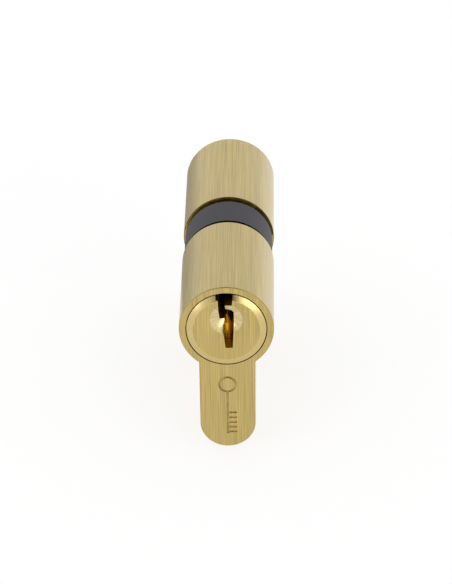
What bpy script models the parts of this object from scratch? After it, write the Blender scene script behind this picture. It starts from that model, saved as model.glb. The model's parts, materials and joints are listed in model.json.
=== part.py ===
"""A double euro-profile lock cylinder, 30 + 30 mm, built as the separate pieces that it is assembled from.

Z is up and the cores turn about a line along Y. The origin is the centre of the fixing screw's hole, from
which the two halves are measured. The front half lies towards -Y. The rear half is the front half turned half
a turn about Z. The pins stand at the shear line, where the right key holds them, so both cores can turn.
"""

import math

import bmesh
import bpy
from mathutils import Matrix

MM = 0.001

# The body's outline across its length. Heights on it and in the cores are measured from the barrel's axis.
BARREL_RADIUS = 8.5 * MM
PROFILE_HEIGHT = 33.0 * MM
STEM_WIDTH = 10.0 * MM
HALF_LENGTH = 30.0 * MM
AXIS_HEIGHT = 20.2 * MM
FOOT_RADIUS = STEM_WIDTH / 2
FOOT_CENTRE = BARREL_RADIUS - PROFILE_HEIGHT + FOOT_RADIUS
SCREW_HOLE_RADIUS = 2.1 * MM

# The recess in the middle of the body, in which the cam sweeps round.
RECESS_HALF = 5.0 * MM
RECESS_RADIUS = 15.6 * MM

# The keyed cores. Their bevelled faces stand proud of the body's ends, and the bevels start flush with it.
# SLIP is the clearance on the radius of whatever turns or slides.
SLIP = 0.08 * MM
FLANGE_RADIUS = 7.15 * MM
FLANGE_DEPTH = 1.8 * MM
CORE_RADIUS = 6.5 * MM
TAIL_RADIUS = 6.0 * MM
TAIL_END = 1.0 * MM
FACE_BEVEL_WIDTH = 1.1 * MM
FACE_BEVEL_DEPTH = 0.45 * MM
CORE_FACE = -HALF_LENGTH - FACE_BEVEL_DEPTH

# The cone that guides the key's tip into the keyway.
GUIDE_RADIUS = 2.92 * MM
GUIDE_HEIGHT = 2.2 * MM
GUIDE_DEPTH = 1.5 * MM

# The retaining clip and the groove that holds it, on the tail beside the recess's wall.
CLIP_OUTER = 7.3 * MM
CLIP_GROOVE_RADIUS = 5.25 * MM
CLIP_NEAR = 4.0 * MM
CLIP_FAR = 4.9 * MM
CLIP_MOUTH = math.radians(70)

# The cam: a ring round the two tails, with a web across its middle and one lever.
CAM_RADIUS = 8.2 * MM
CAM_HALF_WIDTH = 4.0 * MM
WEB_HALF = 0.9 * MM
LEVER_HALF_WIDTH = 3.6 * MM
LEVER_REACH = 15.0 * MM
LEVER_ROOT_HALF = 3.9 * MM
LEVER_TIP_HALF = 3.3 * MM

# The clutch pieces slide in a slot across each tail. The one that stands in the web's slot drives the cam.
DOG_WIDTH = 3.0 * MM
DOG_REACH = 4.9 * MM
DOG_HUB_RADIUS = 2.4 * MM
DOG_LENGTH = 3.45 * MM
DOG_GAP = 0.05 * MM
SLOT_END = 4.6 * MM

# The pin stacks, counted from the face inwards. A deeper cut in the key has a longer key pin.
FIRST_PIN = 4.15 * MM
PIN_PITCH = 4.0 * MM
KEY_PIN_LENGTHS = [length * MM for length in (7.4, 5.9, 6.7, 5.4, 6.2)]
PIN_RADIUS = 1.38 * MM
CHAMBER_RADIUS = 1.5 * MM
CHAMBER_TOP = 1.5 * MM
KEY_PIN_FOOT = -6.4 * MM
KEY_PIN_CONE = 1.25 * MM
KEY_PIN_TIP_RADIUS = 0.25 * MM
DRIVER_TOP = -6.65 * MM
DRIVER_LENGTH = 5.4 * MM
PIN_EDGE = 0.3 * MM
SEAL_RADIUS = 1.45 * MM
SEAL_LENGTH = 3.2 * MM
SPRING_RADIUS = 1.1 * MM
SPRING_WIRE_RADIUS = 0.18 * MM
SPRING_TURNS = 6
SPRING_GAP = 0.1 * MM

BARREL_FACETS = 64
CAM_FACETS = 64
PIN_FACETS = 16
SPRING_STEPS = 9

# The keyway's outline as (x, height), from the top of its left side round to the top of its right side.
KEYWAY = [
    (-1.85, 7.6), (-1.85, 6.05), (-1.45, 6.0), (-1.4, 3.8), (-1.2, 1.95), (-0.35, 1.8), (-0.35, 1.3),
    (-0.62, 0.5), (-0.65, -0.3), (-0.45, -1.3), (-0.2, -3.6), (1.1, -3.6), (1.2, -1.6), (1.35, 0.9),
    (1.35, 3.3), (1.05, 3.75), (-0.15, 4.1), (-0.22, 5.0), (1.05, 5.05), (1.15, 6.0), (1.3, 7.6),
]

OVER = 1.0 * MM
WELD = 0.001 * MM

MATERIALS = {
    "satin_brass": ((0.55, 0.43, 0.22), 0.38, 1.0),
    "turned_brass": ((0.60, 0.44, 0.20), 0.30, 1.0),
    "sintered_steel": ((0.10, 0.10, 0.11), 0.55, 0.9),
    "spring_steel": ((0.45, 0.45, 0.46), 0.30, 1.0),
    "nickel_silver": ((0.62, 0.60, 0.55), 0.28, 1.0),
}


def square_turn(degrees, axis):
    """A turn by whole right angles, in exact ones and zeros."""
    turn = Matrix.Rotation(math.radians(degrees), 4, axis)
    return Matrix([[round(value) for value in row] for row in turn])


TO_REAR = square_turn(-90, "X")
TO_FRONT = square_turn(90, "X")
ACROSS = square_turn(90, "Y")
HALF_TURN = square_turn(180, "Z")


def clear_scene():
    for obj in list(bpy.data.objects):
        bpy.data.objects.remove(obj)


def make_materials():
    for name, (colour, roughness, metallic) in MATERIALS.items():
        material = bpy.data.materials.new(name)
        material.use_nodes = True
        shader = material.node_tree.nodes["Principled BSDF"]
        shader.inputs["Base Color"].default_value = (*colour, 1.0)
        shader.inputs["Roughness"].default_value = roughness
        shader.inputs["Metallic"].default_value = metallic


def link(name, data, matrix=None):
    """A new object in the scene, with its place in its mesh."""
    if matrix is not None:
        data.transform(matrix)
    obj = bpy.data.objects.new(name, data)
    bpy.context.scene.collection.objects.link(obj)
    return obj


def evaluated_mesh(obj):
    """What the object's curve or modifiers make of it, as a welded mesh. The object is removed."""
    bpy.context.view_layer.update()
    graph = bpy.context.evaluated_depsgraph_get()
    mesh = bpy.data.meshes.new_from_object(obj.evaluated_get(graph))
    bpy.data.objects.remove(obj)
    shape = bmesh.new()
    shape.from_mesh(mesh)
    bmesh.ops.remove_doubles(shape, verts=shape.verts, dist=WELD)
    bmesh.ops.dissolve_degenerate(shape, edges=shape.edges, dist=WELD)
    shape.to_mesh(mesh)
    shape.free()
    return mesh


def combined(solid, others, operation="DIFFERENCE"):
    """One Boolean of a solid with all the others at once, as a mesh. The objects are used up."""
    tools = bpy.data.collections.new("cutters")
    for other in others:
        tools.objects.link(other)
    modifier = solid.modifiers.new("shape", "BOOLEAN")
    modifier.operation = operation
    modifier.solver = "EXACT"
    modifier.operand_type = "COLLECTION"
    modifier.collection = tools
    mesh = evaluated_mesh(solid)
    for other in others:
        bpy.data.objects.remove(other)
    bpy.data.collections.remove(tools)
    return mesh


def turned(name, profile, facets, matrix=None):
    """A solid of revolution about Z. The profile is (radius, height) from the top down the outer side."""
    mesh = bpy.data.meshes.new(name)
    points = [(radius, 0.0, height) for radius, height in profile]
    mesh.from_pydata(points, [(i, i + 1) for i in range(len(points) - 1)], [])
    obj = link(name, mesh)
    screw = obj.modifiers.new("turn", "SCREW")
    screw.steps = screw.render_steps = facets
    screw.use_merge_vertices = True
    screw.merge_threshold = WELD
    return link(name, evaluated_mesh(obj), matrix)


def rod(name, radius, low, high, facets, matrix=None):
    return turned(name, [(0, high), (radius, high), (radius, low), (0, low)], facets, matrix)


def prism(name, outline, low, high):
    """An outline of (x, height) points, carried along Y from low to high."""
    curve = bpy.data.curves.new(name, "CURVE")
    curve.dimensions = "2D"
    curve.fill_mode = "BOTH"
    curve.extrude = (high - low) / 2
    spline = curve.splines.new("POLY")
    spline.points.add(len(outline) - 1)
    for point, (x, height) in zip(spline.points, outline):
        point.co = (x, height, 0.0, 1.0)
    spline.use_cyclic_u = True
    upright = Matrix.Translation((0, (low + high) / 2, 0)) @ TO_FRONT
    return link(name, evaluated_mesh(link(name, curve)), upright)


def arc(centre_height, radius, start, end, steps):
    """Points on an arc in the outline's plane, its ends included, with angles from +X."""
    angles = [start + (end - start) * i / steps for i in range(steps + 1)]
    return [(radius * math.cos(a), centre_height + radius * math.sin(a)) for a in angles]


def pin_positions():
    """Each pin stack's distance from the middle of the body."""
    return [HALF_LENGTH - FIRST_PIN - i * PIN_PITCH for i in range(len(KEY_PIN_LENGTHS))]


def at_axis(x=0.0, y=0.0, height=0.0):
    return Matrix.Translation((x, y, AXIS_HEIGHT + height))


def body_outline():
    """The round barrel over its round-footed stem, heights from the barrel's axis."""
    half = STEM_WIDTH / 2
    shoulder = math.asin(half / BARREL_RADIUS)
    round_top = arc(0, BARREL_RADIUS, shoulder - math.pi / 2, 1.5 * math.pi - shoulder, BARREL_FACETS - 8)
    foot = arc(FOOT_CENTRE, FOOT_RADIUS, math.pi, 2 * math.pi, BARREL_FACETS // 4)
    return round_top + foot


def body_mesh():
    cutters = [rod("recess", RECESS_RADIUS, -RECESS_HALF, RECESS_HALF, BARREL_FACETS, TO_REAR)]
    bore = [
        (0, HALF_LENGTH + OVER),
        (FLANGE_RADIUS + SLIP, HALF_LENGTH + OVER),
        (FLANGE_RADIUS + SLIP, HALF_LENGTH - FLANGE_DEPTH - SLIP),
        (CORE_RADIUS + SLIP, HALF_LENGTH - FLANGE_DEPTH - SLIP),
        (CORE_RADIUS + SLIP, RECESS_HALF - OVER),
        (0, RECESS_HALF - OVER),
    ]
    cutters += [turned("bore", bore, BARREL_FACETS, turn) for turn in (TO_REAR, TO_FRONT)]
    foot = BARREL_RADIUS - PROFILE_HEIGHT
    for distance in pin_positions():
        for y in (-distance, distance):
            stack = Matrix.Translation((0, y, 0))
            cutters.append(rod("chamber", CHAMBER_RADIUS, foot - OVER, -CORE_RADIUS / 2, PIN_FACETS, stack))
    screw_hole = Matrix.Translation((0, 0, -AXIS_HEIGHT)) @ ACROSS
    cutters.append(rod("screw_hole", SCREW_HOLE_RADIUS, -STEM_WIDTH, STEM_WIDTH, PIN_FACETS, screw_hole))
    return combined(prism("body", body_outline(), -HALF_LENGTH, HALF_LENGTH), cutters)


def core_mesh():
    """The front core: a flange with a bevelled face, a barrel, and the tail that carries the clip."""
    profile = [
        (0, -TAIL_END), (TAIL_RADIUS, -TAIL_END),
        (TAIL_RADIUS, -CLIP_NEAR), (CLIP_GROOVE_RADIUS, -CLIP_NEAR),
        (CLIP_GROOVE_RADIUS, -RECESS_HALF), (CORE_RADIUS, -RECESS_HALF),
        (CORE_RADIUS, FLANGE_DEPTH - HALF_LENGTH), (FLANGE_RADIUS, FLANGE_DEPTH - HALF_LENGTH),
        (FLANGE_RADIUS, -HALF_LENGTH), (FLANGE_RADIUS - FACE_BEVEL_WIDTH, CORE_FACE), (0, CORE_FACE),
    ]
    outline = [(x * MM, height * MM) for x, height in KEYWAY]
    guide = [(0, GUIDE_DEPTH), (GUIDE_RADIUS, 0), (GUIDE_RADIUS, -OVER), (0, -OVER)]
    guide_place = Matrix.Translation((0, CORE_FACE, GUIDE_HEIGHT)) @ TO_REAR
    cutters = [
        prism("keyway", outline, -HALF_LENGTH - OVER, 0),
        turned("guide", guide, 2 * PIN_FACETS, guide_place),
        clutch_shape("clutch_slot", SLIP, -SLOT_END, 0),
    ]
    drilled = [
        (0, CHAMBER_TOP), (CHAMBER_RADIUS, CHAMBER_TOP - CHAMBER_RADIUS / 2),
        (CHAMBER_RADIUS, -CORE_RADIUS - OVER), (0, -CORE_RADIUS - OVER),
    ]
    for distance in pin_positions():
        cutters.append(turned("chamber", drilled, PIN_FACETS, Matrix.Translation((0, -distance, 0))))
    return combined(turned("core", profile, BARREL_FACETS, TO_REAR), cutters)


def clutch_shape(name, room, low, high):
    """A bar across the axis with a round hub, grown on every side by room, from low to high along Y."""
    half, reach = DOG_WIDTH / 2 + room, DOG_REACH + room
    hub = DOG_HUB_RADIUS + room
    tip, root = math.asin(half / reach), math.asin(half / hub)
    right = arc(0, reach, -tip, tip, 6)
    top = arc(0, hub, root, math.pi - root, 12)
    left = arc(0, reach, math.pi - tip, math.pi + tip, 6)
    bottom = arc(0, hub, math.pi + root, 2 * math.pi - root, 12)
    return prism(name, right + top + left + bottom, low, high)


def clip_mesh():
    """A flat C-shaped ring with its mouth upwards."""
    inner = CLIP_GROOVE_RADIUS + SLIP
    start, end = math.pi / 2 + CLIP_MOUTH / 2, 2.5 * math.pi - CLIP_MOUTH / 2
    outline = arc(0, CLIP_OUTER, start, end, 32) + arc(0, inner, end, start, 32)
    return evaluated_mesh(prism("clip", outline, -CLIP_FAR + SLIP, -CLIP_NEAR - SLIP))


def cam_mesh():
    """The ring and its lever, which points straight down, along the stem."""
    tip = math.asin(LEVER_TIP_HALF / LEVER_REACH)
    outline = [(LEVER_ROOT_HALF, -CAM_RADIUS / 2), (-LEVER_ROOT_HALF, -CAM_RADIUS / 2)]
    outline += arc(0, LEVER_REACH, 1.5 * math.pi - tip, 1.5 * math.pi + tip, 8)
    ring = rod("ring", CAM_RADIUS, -CAM_HALF_WIDTH, CAM_HALF_WIDTH, CAM_FACETS, TO_REAR)
    solid = combined(ring, [prism("lever", outline, -LEVER_HALF_WIDTH, LEVER_HALF_WIDTH)], "UNION")
    seat = TAIL_RADIUS + SLIP
    cutters = [rod("seat", seat, WEB_HALF, RECESS_HALF, CAM_FACETS, turn) for turn in (TO_REAR, TO_FRONT)]
    cutters.append(clutch_shape("web_slot", SLIP, -2 * WEB_HALF, 2 * WEB_HALF))
    return combined(link("cam", solid), cutters)


def key_pin_mesh(length):
    """A pin with a pointed top. Its foot is rounded off inside the core's circle."""
    tip, foot = KEY_PIN_FOOT + length, KEY_PIN_FOOT
    profile = [
        (0, tip), (KEY_PIN_TIP_RADIUS, tip), (PIN_RADIUS, tip - KEY_PIN_CONE),
        (PIN_RADIUS, foot + PIN_EDGE), (PIN_RADIUS - PIN_EDGE, foot), (0, foot),
    ]
    return evaluated_mesh(turned("key_pin", profile, PIN_FACETS))


def driver_pin_mesh():
    top, foot = DRIVER_TOP, DRIVER_TOP - DRIVER_LENGTH
    profile = [
        (0, top), (PIN_RADIUS - PIN_EDGE, top), (PIN_RADIUS, top - PIN_EDGE),
        (PIN_RADIUS, foot + PIN_EDGE), (PIN_RADIUS - PIN_EDGE, foot), (0, foot),
    ]
    return evaluated_mesh(turned("driver_pin", profile, PIN_FACETS))


def seal_top():
    return BARREL_RADIUS - PROFILE_HEIGHT + SEAL_LENGTH


def seal_mesh():
    """The stub that closes a chamber, dressed off to the round foot of the stem."""
    stub = rod("seal", SEAL_RADIUS, BARREL_RADIUS - PROFILE_HEIGHT - OVER, seal_top(), PIN_FACETS)
    foot_place = Matrix.Translation((0, 0, FOOT_CENTRE)) @ TO_REAR
    foot = rod("foot", FOOT_RADIUS, -2 * OVER, 2 * OVER, BARREL_FACETS // 2, foot_place)
    return combined(stub, [foot], "INTERSECT")


def spring_mesh():
    """A helix between the seal and the driver pin, with the wire's thickness kept inside both ends."""
    low = seal_top() + SPRING_GAP + SPRING_WIRE_RADIUS
    high = DRIVER_TOP - DRIVER_LENGTH - SPRING_GAP - SPRING_WIRE_RADIUS
    steps = SPRING_TURNS * SPRING_STEPS
    curve = bpy.data.curves.new("spring", "CURVE")
    curve.dimensions = "3D"
    curve.bevel_depth = SPRING_WIRE_RADIUS
    curve.bevel_resolution = 0
    curve.use_fill_caps = True
    spline = curve.splines.new("POLY")
    spline.points.add(steps)
    for i, point in enumerate(spline.points):
        angle = 2 * math.pi * i / SPRING_STEPS
        x, y = SPRING_RADIUS * math.cos(angle), SPRING_RADIUS * math.sin(angle)
        point.co = (x, y, low + (high - low) * i / steps, 1.0)
    return evaluated_mesh(link("spring", curve))


def place(collection, name, mesh, material, matrix, parent=None):
    """Puts a finished piece in the object's collection, with its origin on its own axis."""
    obj = bpy.data.objects.new(name, mesh)
    obj.matrix_world = matrix
    collection.objects.link(obj)
    if not mesh.materials:
        mesh.materials.append(bpy.data.materials[material])
        mesh.shade_smooth()
        mesh.set_sharp_from_angle(angle=math.radians(30))
    if parent is not None:
        bpy.context.view_layer.update()
        obj.parent = parent
        obj.matrix_parent_inverse = parent.matrix_world.inverted()
    return obj


def build():
    clear_scene()
    make_materials()
    collection = bpy.data.collections.new("euro_profile_double_cylinder")
    bpy.context.scene.collection.children.link(collection)

    place(collection, "housing", body_mesh(), "satin_brass", at_axis())
    place(collection, "cam", cam_mesh(), "sintered_steel", at_axis())
    core, clip = core_mesh(), clip_mesh()
    driver, spring, seal = driver_pin_mesh(), spring_mesh(), seal_mesh()
    key_pins = [key_pin_mesh(length) for length in KEY_PIN_LENGTHS]
    # The front clutch piece stands in the web and drives the cam. The rear one is pushed clear of it.
    driving, idle = WEB_HALF - DOG_GAP, -WEB_HALF - DOG_GAP
    front_dog = evaluated_mesh(clutch_shape("dog", 0, driving - DOG_LENGTH, driving))
    rear_dog = evaluated_mesh(clutch_shape("dog", 0, idle - DOG_LENGTH, idle))

    for side, turn, dog in (("front", Matrix(), front_dog), ("rear", HALF_TURN, rear_dog)):
        here = at_axis() @ turn
        keyed = place(collection, side + "_core", core, "satin_brass", here)
        place(collection, side + "_retaining_clip", clip, "spring_steel", here, keyed)
        place(collection, side + "_clutch", dog, "sintered_steel", here, keyed)
        for number, distance in enumerate(pin_positions(), start=1):
            stack = here @ Matrix.Translation((0, -distance, 0))
            pin = key_pins[number - 1]
            place(collection, f"{side}_key_pin_{number}", pin, "turned_brass", stack, keyed)
            place(collection, f"{side}_driver_pin_{number}", driver, "nickel_silver", stack)
            place(collection, f"{side}_pin_spring_{number}", spring, "spring_steel", stack)
            place(collection, f"{side}_seal_{number}", seal, "turned_brass", stack)


build()
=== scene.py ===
"""Detailed, finished model of a double profile lock cylinder, laid out as an add-on.

Sizes that fit another piece come from the frame or stand with it at the top. The others, and the finishes'
colours, are properties. The rear half's pieces are the front half's, turned half a turn.
"""

import json
import math

import bmesh
import bpy
from bpy.props import FloatProperty, FloatVectorProperty, IntProperty, PointerProperty
from mathutils import Matrix, Vector


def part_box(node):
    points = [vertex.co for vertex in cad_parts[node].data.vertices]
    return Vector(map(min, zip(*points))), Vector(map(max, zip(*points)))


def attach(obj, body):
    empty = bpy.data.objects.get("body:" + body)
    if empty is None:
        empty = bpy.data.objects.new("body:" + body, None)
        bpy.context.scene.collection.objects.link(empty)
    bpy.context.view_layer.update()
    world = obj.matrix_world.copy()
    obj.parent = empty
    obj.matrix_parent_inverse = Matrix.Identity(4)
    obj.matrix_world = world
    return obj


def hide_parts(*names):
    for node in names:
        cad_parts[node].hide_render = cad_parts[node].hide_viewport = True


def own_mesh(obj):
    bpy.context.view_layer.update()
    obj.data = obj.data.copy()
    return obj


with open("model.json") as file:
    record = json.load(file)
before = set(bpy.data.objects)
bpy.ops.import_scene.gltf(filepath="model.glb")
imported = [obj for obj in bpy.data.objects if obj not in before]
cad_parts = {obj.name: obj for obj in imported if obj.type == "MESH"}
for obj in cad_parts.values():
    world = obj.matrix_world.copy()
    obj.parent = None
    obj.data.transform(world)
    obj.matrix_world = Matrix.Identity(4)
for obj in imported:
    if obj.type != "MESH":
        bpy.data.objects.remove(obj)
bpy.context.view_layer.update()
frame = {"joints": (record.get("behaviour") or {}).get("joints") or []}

bl_info = {
    "name": "Profile lock cylinder",
    "version": (1, 0, 0),
    "blender": (4, 5, 0),
    "location": "3D View > Sidebar > Lock cylinder",
    "description": "Builds the finished pieces of a double profile lock cylinder round its packed frame",
    "category": "Object",
}

MM = 0.001
SIDES = ("front", "rear")
STACKS = range(1, 6)
JOINTS = {joint["name"]: joint for joint in frame["joints"]}

# What the frame gives.
AXIS_HEIGHT = JOINTS["core_turn_front"]["pos_m"][2]
HOUSING_LOW, HOUSING_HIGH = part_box("housing")
CORE_LOW, CORE_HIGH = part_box("front_core")
HALF_LENGTH = HOUSING_HIGH.y
CORE_FACE = CORE_LOW.y
BARREL_RADIUS = HOUSING_HIGH.z - AXIS_HEIGHT
FOOT = HOUSING_LOW.z - AXIS_HEIGHT
CAM_LOW, CAM_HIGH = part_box("cam")
CAM_RADIUS = CAM_HIGH.z - AXIS_HEIGHT
LEVER_REACH = AXIS_HEIGHT - CAM_LOW.z
FLANGE_RADIUS = CORE_HIGH.x
TAIL_END = -CORE_HIGH.y
PIN_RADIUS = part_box("front_key_pin_1")[1].x

# Sizes that the pieces share with the frame's solids.
STEM_HALF = 5.0 * MM
SLIP = 0.08 * MM
RECESS_HALF = 5.0 * MM
RECESS_RADIUS = 15.6 * MM
FLANGE_DEPTH = 1.8 * MM
CORE_RADIUS = 6.5 * MM
TAIL_RADIUS = 6.0 * MM
CLIP_GROOVE_RADIUS = 5.25 * MM
CLIP_GROOVE_END = -4.0 * MM
CLIP_MOUTH = math.radians(70)
WEB_HALF = 0.9 * MM
LEVER_HALF_WIDTH = 3.6 * MM
LEVER_ROOT_HALF = 3.9 * MM
LEVER_TIP_HALF = 3.3 * MM
DOG_WIDTH = 3.0 * MM
DOG_REACH = 4.9 * MM
DOG_HUB_RADIUS = 2.4 * MM
SLOT_END = 4.6 * MM
CHAMBER_RADIUS = 1.5 * MM
CHAMBER_TOP = 1.5 * MM
SEAL_RADIUS = 1.45 * MM
SCREW_CORE_RADIUS = 2.1 * MM

# The keyway's outline as (x, height), from the top of its left side round to the top of its right side.
KEYWAY = [
    (-1.85, 7.6), (-1.85, 6.05), (-1.45, 6.0), (-1.4, 3.8), (-1.2, 1.95), (-0.35, 1.8), (-0.35, 1.3),
    (-0.62, 0.5), (-0.65, -0.3), (-0.45, -1.3), (-0.2, -3.6), (1.1, -3.6), (1.2, -1.6), (1.35, 0.9),
    (1.35, 3.3), (1.05, 3.75), (-0.15, 4.1), (-0.22, 5.0), (1.05, 5.05), (1.15, 6.0), (1.3, 7.6),
]

# How finely round shapes are cut up.
BARREL_FACETS = 192
BORE_FACETS = 128
CHAMBER_FACETS = 32
PIN_FACETS = 48
SPRING_STEPS = 20
THREAD_STEPS = 32
SHARP = math.radians(28)

# How far a cutter passes through what it cuts, and how near two points are one.
OVER = 1.0 * MM
WELD = 0.0005 * MM


def square_turn(degrees, axis):
    """A turn by whole right angles, in exact ones and zeros."""
    turn = Matrix.Rotation(math.radians(degrees), 4, axis)
    return Matrix([[round(value) for value in row] for row in turn])


TO_REAR = square_turn(-90, "X")
TO_FRONT = square_turn(90, "X")
ACROSS = square_turn(90, "Y")
AT_AXIS = Matrix.Translation((0, 0, AXIS_HEIGHT))
SIDE_TURN = {"front": Matrix(), "rear": square_turn(180, "Z")}


# ---------------------------------------------------------------- settings


def linear(hex_colour):
    """A shader colour from an sRGB hex value."""
    channels = [int(hex_colour[i:i + 2], 16) / 255 for i in (0, 2, 4)]
    return (*[c / 12.92 if c <= 0.04045 else ((c + 0.055) / 1.055) ** 2.4 for c in channels], 1.0)


def colour_property(name, description, hex_colour):
    return FloatVectorProperty(
        name=name, description=description, default=linear(hex_colour), min=0.0, max=1.0, size=4,
        subtype="COLOR",
    )


def length_property(name, description, millimetres):
    return FloatProperty(
        name=name, description=description, default=millimetres * MM, min=0.0, precision=5,
        subtype="DISTANCE", unit="LENGTH",
    )


def angle_property(name, description, degrees):
    return FloatProperty(
        name=name, description=description, default=math.radians(degrees), subtype="ANGLE", unit="ROTATION",
    )


class LockSizes(bpy.types.PropertyGroup):
    """Sizes of edges, marks and small parts that a user may change without disturbing the fit."""

    edge: length_property("Edge", "Width of the broken edges round the housing's ends and its recess", 0.14)
    cam_edge: length_property("Cam edge", "Width of the broken edges round the cam", 0.15)
    flange_gap: length_property("Core gap", "Seam round each core's flange", 0.17)
    bevel_width: length_property("Bevel width", "Width of the bevel round each core's face", 1.1)
    guide_radius: length_property("Guide radius", "Radius of the cone that guides the key in", 2.92)
    guide_height: length_property("Guide height", "Height of the guide cone above the core's axis", 2.2)
    guide_depth: length_property("Guide depth", "Depth of the guide cone", 1.5)
    mark_height: length_property("Mark height", "Height of the key-shaped mark on the stem", 11.8)
    mark_stroke: length_property("Mark stroke", "Width of the mark's strokes", 0.42)
    mark_depth: length_property("Mark depth", "Depth of the mark's strokes", 0.14)
    mark_bits: IntProperty(
        name="Mark bits", description="Bits of the key-shaped mark", default=5, min=1, max=8,
    )
    thread_pitch: length_property("Thread pitch", "Pitch of the fixing screw's thread", 0.8)
    thread_depth: length_property("Thread depth", "Depth of the fixing screw's thread", 0.4)
    pin_edge: length_property("Pin edge", "Width of the pins' rounded edges", 0.3)
    pin_cone: length_property("Key pin cone", "Length of the key pins' pointed ends", 1.25)
    pin_tip: length_property("Key pin tip", "Radius of the key pins' flat tips", 0.25)
    spring_wire: length_property("Spring wire", "Radius of the pin springs' wire", 0.18)
    spring_radius: length_property("Spring radius", "Radius of the pin springs at the wire's middle", 1.12)
    spring_turns: IntProperty(
        name="Spring turns", description="Turns of wire in each pin spring", default=7, min=2, max=12,
    )


class LockFinishes(bpy.types.PropertyGroup):
    """Each finish's palest tone. Its darker tones are worked out from it."""

    barrel: colour_property("Barrel", "Drawn satin brass of the barrel and the stem's flanks", "DBC584")
    face: colour_property("Faces", "Satin brass of both ends of the housing and of the cores", "D4BC78")
    # The broken edges' colour is a little darker than the faces: painted shade that, with the dark card's
    # reflection, makes each end's rim read as a thin dark line.
    edge: colour_property("Broken edges", "Brass of the broken edges round the housing", "C2A862")
    bevel: colour_property("Bevels", "Turned brass of the bevels round the cores' faces", "D0BA7E")
    # The recess's colour is far darker than the other brass: painted shade for the walls that face each other
    # across the narrow recess.
    recess: colour_property("Recess", "Milled brass of the recess's walls", "6E6034")
    # The seats' colour is darker than the bores' brass: painted shade in the seams round the cores' flanges.
    seat: colour_property("Flange seats", "Reamed brass of the seats round the cores' flanges", "A07C34")
    # The mark's colour is a little darker than the faces: partly the milled floor's own tone, partly painted
    # shade so that the upright strokes show, which catch no shading from above.
    mark: colour_property("Mark", "Brass at the bottom of the engraved mark", "C0AA68")
    guide: colour_property("Guide cones", "Bright turned brass of the guide cones", "DCC896")
    bore: colour_property("Bores", "Raw brass inside the bores and the keyways", "EAC63E")
    # The notch's colour is painted shade: near black where the keyway's top corner lies in shade.
    notch: colour_property("Notch", "Tarnished brass in the top notch of each keyway", "241C0C")
    key_pin: colour_property("Key pins", "Turned brass of the key pins and the chamber seals", "ECC63A")
    driver_pin: colour_property("Driver pins", "Nickel silver of the driver pins", "CBC7BC")
    spring: colour_property("Springs", "Drawn steel of the springs and the clips", "B4B5B8")
    cam: colour_property("Cam", "Oil-darkened steel of the cam and the clutch pieces", "5E5E60")
    # The cam ends' colour is painted shade, for the narrow gaps beside the ring.
    cam_ends: colour_property("Cam's ends", "Blackened steel of the cam ring's ends", "101012")
    floor: colour_property("Floor", "Matt paper of the studio's floor", "8C8C8C")
    card: colour_property("Card", "Dark card over the camera, which the brass mirrors", "303030")
    # The sheet's grey is a painted reflection on the barrel's left side.
    sheet: colour_property("Sheet", "Grey sheet beside the rear, which the barrel's left mirrors", "BCBCBC")


class LockStudio(bpy.types.PropertyGroup):
    """Where the camera and the lights stand."""

    azimuth: angle_property("Azimuth", "Camera's angle round the cylinder, from straight in front", 1.26)
    elevation: angle_property("Elevation", "Camera's angle above the horizon", 28.95)
    roll: angle_property("Roll", "Camera's turn about its own line of sight", -1.02)
    distance: length_property("Distance", "Camera's distance from its target", 550.0)
    target_x: FloatProperty(
        name="Target across", description="Target's place across the cylinder", default=-0.61 * MM,
        subtype="DISTANCE", unit="LENGTH",
    )
    target_drop: length_property("Target drop", "Target's depth below the barrel's axis", 9.03)
    lens: FloatProperty(
        name="Lens", description="Camera's focal length in millimetres", default=179.6, min=10.0,
        unit="CAMERA",
    )
    daylight: FloatProperty(
        name="Surround", description="Strength of the even light from all round", default=0.85, min=0.0,
    )


# ---------------------------------------------------------------- meshes


def link(name, data, matrix=None):
    """A new object in the scene, with its place in its mesh."""
    if matrix is not None:
        data.transform(matrix)
    obj = bpy.data.objects.new(name, data)
    bpy.context.scene.collection.objects.link(obj)
    return obj


def evaluated_mesh(obj):
    """What the object's curve or modifiers make of it, as a welded mesh. The object is removed."""
    bpy.context.view_layer.update()
    graph = bpy.context.evaluated_depsgraph_get()
    mesh = bpy.data.meshes.new_from_object(obj.evaluated_get(graph))
    bpy.data.objects.remove(obj)
    shape = bmesh.new()
    shape.from_mesh(mesh)
    bmesh.ops.remove_doubles(shape, verts=shape.verts, dist=WELD)
    bmesh.ops.dissolve_degenerate(shape, edges=shape.edges, dist=WELD)
    shape.to_mesh(mesh)
    shape.free()
    return mesh


def combined(solid, others, operation="DIFFERENCE"):
    """One Boolean of a solid with all the others at once, as a mesh. The objects are used up."""
    tools = bpy.data.collections.new("cutters")
    for other in others:
        tools.objects.link(other)
    modifier = solid.modifiers.new("shape", "BOOLEAN")
    modifier.operation = operation
    modifier.solver = "EXACT"
    modifier.operand_type = "COLLECTION"
    modifier.collection = tools
    mesh = evaluated_mesh(solid)
    for other in others:
        bpy.data.objects.remove(other)
    bpy.data.collections.remove(tools)
    return mesh


def turned(name, profile, facets, matrix=None):
    """A solid of revolution about Z. The profile is (radius, height) from the top down the outer side."""
    mesh = bpy.data.meshes.new(name)
    points = [(radius, 0.0, height) for radius, height in profile]
    mesh.from_pydata(points, [(i, i + 1) for i in range(len(points) - 1)], [])
    obj = link(name, mesh)
    screw = obj.modifiers.new("turn", "SCREW")
    screw.steps = screw.render_steps = facets
    screw.use_merge_vertices = True
    screw.merge_threshold = WELD
    return link(name, evaluated_mesh(obj), matrix)


def rod(name, radius, low, high, facets, matrix=None):
    return turned(name, [(0, high), (radius, high), (radius, low), (0, low)], facets, matrix)


def inset(outline, room):
    """An outline that runs anticlockwise, moved inwards by room."""
    moved = []
    for number, point in enumerate(outline):
        before = Vector(point) - Vector(outline[number - 1])
        after = Vector(outline[(number + 1) % len(outline)]) - Vector(point)
        first, second = (Vector((-way.y, way.x)).normalized() for way in (before, after))
        middle = (first + second).normalized()
        moved.append(tuple(Vector(point) + middle * room / middle.dot(first)))
    return moved


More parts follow.
